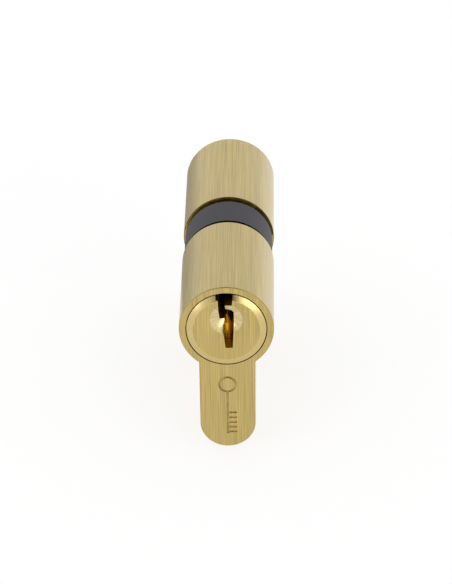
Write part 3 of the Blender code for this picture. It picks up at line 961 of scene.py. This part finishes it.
class LOCK_OT_cores(PieceOperator):
    """Make both keyed cores, with their bevelled faces, keyways and guide cones"""

    bl_idname = "lock.cores"
    bl_label = "Cores"

    def execute(self, context):
        sizes = context.scene.lock_sizes
        finishes = [
            "bored_brass", "faced_satin_brass", "bevelled_brass", "bright_cone_brass", "broached_brass",
        ]
        core = self.core(sizes)
        for side in SIDES:
            mesh = core.copy()
            paint(mesh, finishes, lambda polygon: self.finish_of(polygon, sizes))
            mesh.transform(AT_AXIS @ SIDE_TURN[side])
            finish_piece(f"{side}_keyed_core", mesh, f"{side}_core", f"{side}_core")
        return {"FINISHED"}

    def core(self, sizes):
        """The front core about its own axis, bored for its pins and slotted for its clutch piece."""
        rim = FLANGE_RADIUS - sizes.bevel_width
        inner = [
            (0, -TAIL_END), (TAIL_RADIUS, -TAIL_END),
            (TAIL_RADIUS, CLIP_GROOVE_END), (CLIP_GROOVE_RADIUS, CLIP_GROOVE_END),
            (CLIP_GROOVE_RADIUS, -RECESS_HALF), (CORE_RADIUS, -RECESS_HALF),
            (CORE_RADIUS, FLANGE_DEPTH - HALF_LENGTH), (FLANGE_RADIUS, FLANGE_DEPTH - HALF_LENGTH),
        ]
        corner = (FLANGE_RADIUS, -HALF_LENGTH)
        profile = inner + rounded(corner, inner[-1], (rim, CORE_FACE), SLIP / 2)
        profile += rounded((rim, CORE_FACE), corner, (0, CORE_FACE), SLIP) + [(0, CORE_FACE)]
        outline = [(x * MM, height * MM) for x, height in KEYWAY]
        guide = [(0, sizes.guide_depth), (sizes.guide_radius, 0), (sizes.guide_radius, -OVER), (0, -OVER)]
        guide_place = Matrix.Translation((0, CORE_FACE, sizes.guide_height)) @ TO_REAR
        cutters = [
            prism("keyway", outline, CORE_FACE - OVER, 0),
            turned("guide", guide, BORE_FACETS, guide_place),
            clutch_shape("clutch_slot", SLIP, -SLOT_END, 0),
        ]
        drilled = [
            (0, CHAMBER_TOP), (CHAMBER_RADIUS, CHAMBER_TOP - CHAMBER_RADIUS / 2),
            (CHAMBER_RADIUS, -CORE_RADIUS - OVER), (0, -CORE_RADIUS - OVER),
        ]
        for distance in pin_places():
            cutters.append(turned("chamber", drilled, CHAMBER_FACETS, Matrix.Translation((0, -distance, 0))))
        return combined(turned("core", profile, BORE_FACETS, TO_REAR), cutters)

    def finish_of(self, polygon, sizes):
        """The finish a face has, from where it is on the front core about its axis."""
        x, y, height = polygon.center
        from_face = y - CORE_FACE
        if from_face < WELD and polygon.normal.y < -0.99:
            return "faced_satin_brass"
        if from_face < FLANGE_DEPTH and math.hypot(x, height) > FLANGE_RADIUS - sizes.bevel_width - SLIP:
            return "bevelled_brass"
        guide = math.hypot(x, height - sizes.guide_height)
        if from_face < sizes.guide_depth and guide < sizes.guide_radius and -0.95 < polygon.normal.y < -0.5:
            return "bright_cone_brass"
        # The notch at the top of the keyway's left side, painted near black as painted shade.
        (left, _), (right, floor) = KEYWAY[1:3]
        in_notch = left * MM - WELD < x < right * MM and height > floor * MM - WELD
        return "broached_brass" if in_notch else "bored_brass"


class LOCK_OT_cam(PieceOperator):
    """Make the cam: its ring, its web and its lever, in one piece"""

    bl_idname = "lock.cam"
    bl_label = "Cam"

    def execute(self, context):
        tip = math.asin(LEVER_TIP_HALF / LEVER_REACH)
        outline = [(LEVER_ROOT_HALF, -CAM_RADIUS / 2), (-LEVER_ROOT_HALF, -CAM_RADIUS / 2)]
        outline += arc(0, LEVER_REACH, 1.5 * math.pi - tip, 1.5 * math.pi + tip, 24)
        edge = context.scene.lock_sizes.cam_edge
        lever = prism("lever", outline, -LEVER_HALF_WIDTH, LEVER_HALF_WIDTH, edge)
        side = [(CAM_RADIUS - edge, CAM_HIGH.y), (CAM_RADIUS, CAM_HIGH.y - edge)]
        profile = [(0, CAM_HIGH.y), *side, *[(radius, -y) for radius, y in reversed(side)], (0, CAM_LOW.y)]
        ring = turned("ring", profile, BARREL_FACETS, TO_REAR)
        solid = link("cam", combined(ring, [lever], "UNION"))
        seat = TAIL_RADIUS + SLIP
        turns = (TO_REAR, TO_FRONT)
        cutters = [rod("seat", seat, WEB_HALF, RECESS_HALF, BORE_FACETS, turn) for turn in turns]
        cutters.append(clutch_shape("web_slot", SLIP, -2 * WEB_HALF, 2 * WEB_HALF))
        mesh = combined(solid, cutters)
        mesh.transform(AT_AXIS)
        # The ring's ends and their broken edges are painted near black: painted shade for the narrow gaps
        # between the ring and the housing's halves.
        finishes = ["sintered_steel", "blackened_steel"]
        paint(mesh, finishes, lambda polygon: finishes[abs(polygon.center.y) > CAM_HIGH.y - edge])
        finish_piece("cam_ring", mesh, "cam", "cam")
        return {"FINISHED"}


class LOCK_OT_retaining_clips(PieceOperator):
    """Make the spring clips that hold the cores in the housing"""

    bl_idname = "lock.retaining_clips"
    bl_label = "Retaining clips"

    def execute(self, context):
        low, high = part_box("front_retaining_clip")
        values = {
            "Inner": CLIP_GROOVE_RADIUS + SLIP, "Outer": high.x, "Thickness": high.y - low.y,
            "Mouth": CLIP_MOUTH, "Material": material("spring_steel"),
        }
        tree = clip_tree()
        for side in SIDES:
            place = AT_AXIS @ SIDE_TURN[side] @ Matrix.Translation((0, (low.y + high.y) / 2, 0)) @ TO_FRONT
            mesh = grown(tree, values, place)
            finish_piece(f"{side}_clip", mesh, f"{side}_core", f"{side}_retaining_clip")
        return {"FINISHED"}


class LOCK_OT_clutches(PieceOperator):
    """Make the two clutch pieces that take turns to drive the cam"""

    bl_idname = "lock.clutches"
    bl_label = "Clutch pieces"

    def execute(self, context):
        for side in SIDES:
            low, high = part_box(f"{side}_clutch")
            mesh = evaluated_mesh(clutch_shape("clutch", 0, low.y, high.y, SLIP))
            mesh.transform(AT_AXIS)
            paint(mesh, ["sintered_steel"])
            finish_piece(f"{side}_clutch_piece", mesh, f"{side}_clutch", f"{side}_clutch")
        return {"FINISHED"}


def make_pins(kind, piece, finish, edge, cone, tip_radius):
    """Makes all pins of one kind from the same tree, each on its own body."""
    tree = turned_pin_tree()
    for side in SIDES:
        for number in STACKS:
            node = f"{side}_{kind}_{number}"
            low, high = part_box(node)
            values = {
                "Length": high.z - low.z, "Radius": PIN_RADIUS, "Edge": edge, "Cone": cone,
                "Tip radius": tip_radius, "Facets": PIN_FACETS, "Material": material(finish),
            }
            mesh = grown(tree, values, Matrix.Translation((0, (low.y + high.y) / 2, low.z)))
            finish_piece(f"{side}_{piece}_{number}", mesh, node, node)


class LOCK_OT_key_pins(PieceOperator):
    """Make the ten pointed pins that the key lifts"""

    bl_idname = "lock.key_pins"
    bl_label = "Key pins"

    def execute(self, context):
        sizes = context.scene.lock_sizes
        finish, slot = "turned_pin_brass", "turned_brass"
        make_pins("key_pin", "pointed_pin", finish, sizes.pin_edge, sizes.pin_cone, sizes.pin_tip)
        return {"FINISHED"}


class LOCK_OT_driver_pins(PieceOperator):
    """Make the ten flat-ended pins between the key pins and the springs"""

    bl_idname = "lock.driver_pins"
    bl_label = "Driver pins"

    def execute(self, context):
        edge = context.scene.lock_sizes.pin_edge
        make_pins("driver_pin", "flat_pin", "nickel_silver", edge, edge, PIN_RADIUS - edge)
        return {"FINISHED"}


class LOCK_OT_pin_springs(PieceOperator):
    """Make the ten springs over the driver pins. In the lock they shorten as their driver pins sink; these
    are made at one length
    """

    bl_idname = "lock.pin_springs"
    bl_label = "Pin springs"

    def execute(self, context):
        sizes = context.scene.lock_sizes
        tree = spring_tree()
        for side in SIDES:
            for number in STACKS:
                node, joint = f"{side}_pin_spring_{number}", f"driver_pin_drop_{side}_{number}"
                low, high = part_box(node)
                height = high.z - low.z - 2 * sizes.spring_wire
                values = {
                    "Height": height, "Radius": sizes.spring_radius, "Wire radius": sizes.spring_wire,
                    "Turns": sizes.spring_turns, "Steps": SPRING_STEPS, "Material": material("spring_steel"),
                }
                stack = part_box(f"{side}_driver_pin_{number}")
                middle = (stack[0].y + stack[1].y) / 2
                place = Matrix.Translation((0, middle, low.z + sizes.spring_wire)) @ SIDE_TURN[side]
                spring = finish_piece(
                    f"{side}_coil_{number}", grown(tree, values, place), "housing", node,
                )
                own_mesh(spring)
        return {"FINISHED"}


class LOCK_OT_seals(PieceOperator):
    """Make the stubs that close the pin chambers at the foot"""

    bl_idname = "lock.seals"
    bl_label = "Chamber seals"

    def execute(self, context):
        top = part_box("front_seal_1")[1].z - AXIS_HEIGHT
        foot_place = Matrix.Translation((0, 0, FOOT + STEM_HALF)) @ TO_REAR
        reach = 2 * SEAL_RADIUS
        stub = rod("seal", SEAL_RADIUS, FOOT - OVER, top, CHAMBER_FACETS)
        foot = rod("foot", STEM_HALF, -reach, reach, BARREL_FACETS, foot_place)
        seal = combined(stub, [foot], "INTERSECT")
        for side in SIDES:
            for number, distance in zip(STACKS, pin_places()):
                mesh = seal.copy()
                mesh.transform(AT_AXIS @ SIDE_TURN[side] @ Matrix.Translation((0, -distance, 0)))
                paint(mesh, ["turned_pin_brass"])
                node = f"{side}_seal_{number}"
                finish_piece(f"{side}_chamber_seal_{number}", mesh, "housing", node)
        return {"FINISHED"}


# ---------------------------------------------------------------- stage

# Each softbox: its name, direction in degrees round and up, distance, width, height and brightness.
SOFTBOXES = [
    ("left_softbox", -44, 12, 1.0, 0.32, 0.36, 2.7),
    ("right_softbox", 33, 12, 1.0, 0.5, 0.42, 2.3),
]
# The dark card over the camera: the same, without brightness.
CAMERA_CARD = (0, 45, 1.0, 0.6, 1.5)
# The grey sheet over the floor behind, to the left: its width and length, and its near right corner.
SHEET_SIZE = (0.5, 0.65)
SHEET_CORNER = (-0.008, 0.035)
SHEET_LIFT = 0.5 * MM
FLOOR_SIZE = 6.0


def direction(round_degrees, up_degrees):
    """The direction from the cylinder, round from straight in front and up from the horizon."""
    around, up = math.radians(round_degrees), math.radians(up_degrees)
    return Vector((math.sin(around) * math.cos(up), -math.cos(around) * math.cos(up), math.sin(up)))


class LOCK_OT_studio(bpy.types.Operator):
    """Set out the floor, the dark card, the grey sheet, the soft lights and the camera"""

    bl_idname = "lock.studio"
    bl_label = "Studio"
    bl_options = {"REGISTER", "UNDO"}

    def execute(self, context):
        studio = context.scene.lock_studio
        self.floor()
        self.card(*CAMERA_CARD)
        self.sheet()
        for name, around, up, away, width, height, brightness in SOFTBOXES:
            self.softbox(name, direction(around, up) * away, width, height, brightness)
        world = bpy.data.worlds.new("surround")
        world.use_nodes = True
        background = world.node_tree.nodes["Background"]
        background.inputs["Color"].default_value = linear("FFFFFF")
        background.inputs["Strength"].default_value = studio.daylight
        context.scene.world = world
        context.scene.view_settings.view_transform = "Standard"
        context.scene.camera = self.camera(studio)
        return {"FINISHED"}

    def floor(self):
        """A wide flat floor just under the foot."""
        self.panel("floor", FLOOR_SIZE, FLOOR_SIZE, "white_paper", (0, 0, AXIS_HEIGHT + FOOT))

    def card(self, around, up, away, width, height):
        """A dark card out of view, seen only in what mirrors it."""
        place = direction(around, up) * away
        card = self.panel("camera_card", width, height, "black_paper", place)
        card.rotation_euler = place.to_track_quat("Z", "Y").to_euler()
        card.visible_camera = False

    def sheet(self):
        """A grey sheet on the floor, seen only in the barrel that mirrors it: a painted reflection that makes
        the barrel's left side greyer.
        """
        width, length = SHEET_SIZE
        right, near = SHEET_CORNER
        place = (right - width / 2, near + length / 2, AXIS_HEIGHT + FOOT + SHEET_LIFT)
        sheet = self.panel("grey_sheet", width, length, "grey_paper", place)
        sheet.visible_camera = sheet.visible_diffuse = sheet.visible_shadow = False

    def panel(self, name, width, length, finish, place):
        """A flat rectangle of the studio's."""
        mesh = bpy.data.meshes.new(name)
        shape = bmesh.new()
        bmesh.ops.create_grid(shape, x_segments=2, y_segments=2, size=0.5)
        bmesh.ops.scale(shape, vec=(width, length, 1), verts=shape.verts)
        shape.to_mesh(mesh)
        shape.free()
        mesh.materials.append(material(finish))
        panel = link(name, mesh)
        panel.location = place
        return panel

    def softbox(self, name, place, width, height, brightness):
        light = bpy.data.lights.new(name, "AREA")
        light.shape = "RECTANGLE"
        light.size, light.size_y = width, height
        light.energy = math.pi * width * height * brightness
        lamp = link(name, light)
        lamp.location = place
        lamp.rotation_euler = (-place).to_track_quat("-Z", "Y").to_euler()
        lamp.visible_camera = False

    def camera(self, studio):
        data = bpy.data.cameras.new("camera")
        data.lens = studio.lens
        data.clip_start, data.clip_end = 10 * MM, 2 * FLOOR_SIZE
        camera = link("camera", data)
        back = direction(math.degrees(studio.azimuth), math.degrees(studio.elevation))
        target = Vector((studio.target_x, 0, AXIS_HEIGHT - studio.target_drop))
        sight = (-back).to_track_quat("-Z", "Y").to_matrix().to_4x4()
        camera.matrix_world = (
            Matrix.Translation(target + back * studio.distance) @ sight @ Matrix.Rotation(studio.roll, 4, "Z")
        )
        return camera


class LOCK_PT_sidebar(bpy.types.Panel):
    """Sizes, pieces and studio of the lock cylinder"""

    bl_idname = "LOCK_PT_sidebar"
    bl_label = "Lock cylinder"
    bl_space_type = "VIEW_3D"
    bl_region_type = "UI"
    bl_category = "Lock cylinder"

    def draw(self, context):
        layout = self.layout
        scene = context.scene
        for title, group, operators in (
            ("Pieces", scene.lock_sizes, PIECES), ("Finishes", scene.lock_finishes, []),
            ("Studio", scene.lock_studio, [LOCK_OT_studio]),
        ):
            box = layout.box()
            box.label(text=title)
            for name in group.bl_rna.properties.keys():
                if name not in {"rna_type", "name"}:
                    box.prop(group, name)
            for operator in operators:
                box.operator(operator.bl_idname)


PIECES = [
    LOCK_OT_housing, LOCK_OT_screw_thread, LOCK_OT_cores, LOCK_OT_cam, LOCK_OT_retaining_clips,
    LOCK_OT_clutches, LOCK_OT_key_pins, LOCK_OT_driver_pins, LOCK_OT_pin_springs, LOCK_OT_seals,
]
CLASSES = [LockSizes, LockFinishes, LockStudio, *PIECES, LOCK_OT_studio, LOCK_PT_sidebar]


def register():
    for cls in CLASSES:
        bpy.utils.register_class(cls)
    bpy.types.Scene.lock_sizes = PointerProperty(type=LockSizes)
    bpy.types.Scene.lock_finishes = PointerProperty(type=LockFinishes)
    bpy.types.Scene.lock_studio = PointerProperty(type=LockStudio)


def unregister():
    del bpy.types.Scene.lock_studio
    del bpy.types.Scene.lock_finishes
    del bpy.types.Scene.lock_sizes
    for cls in reversed(CLASSES):
        bpy.utils.unregister_class(cls)


def main():
    register()
    for operator in [*PIECES, LOCK_OT_studio]:
        group, name = operator.bl_idname.split(".")
        getattr(getattr(bpy.ops, group), name)()


if __name__ == "__main__":
    main()
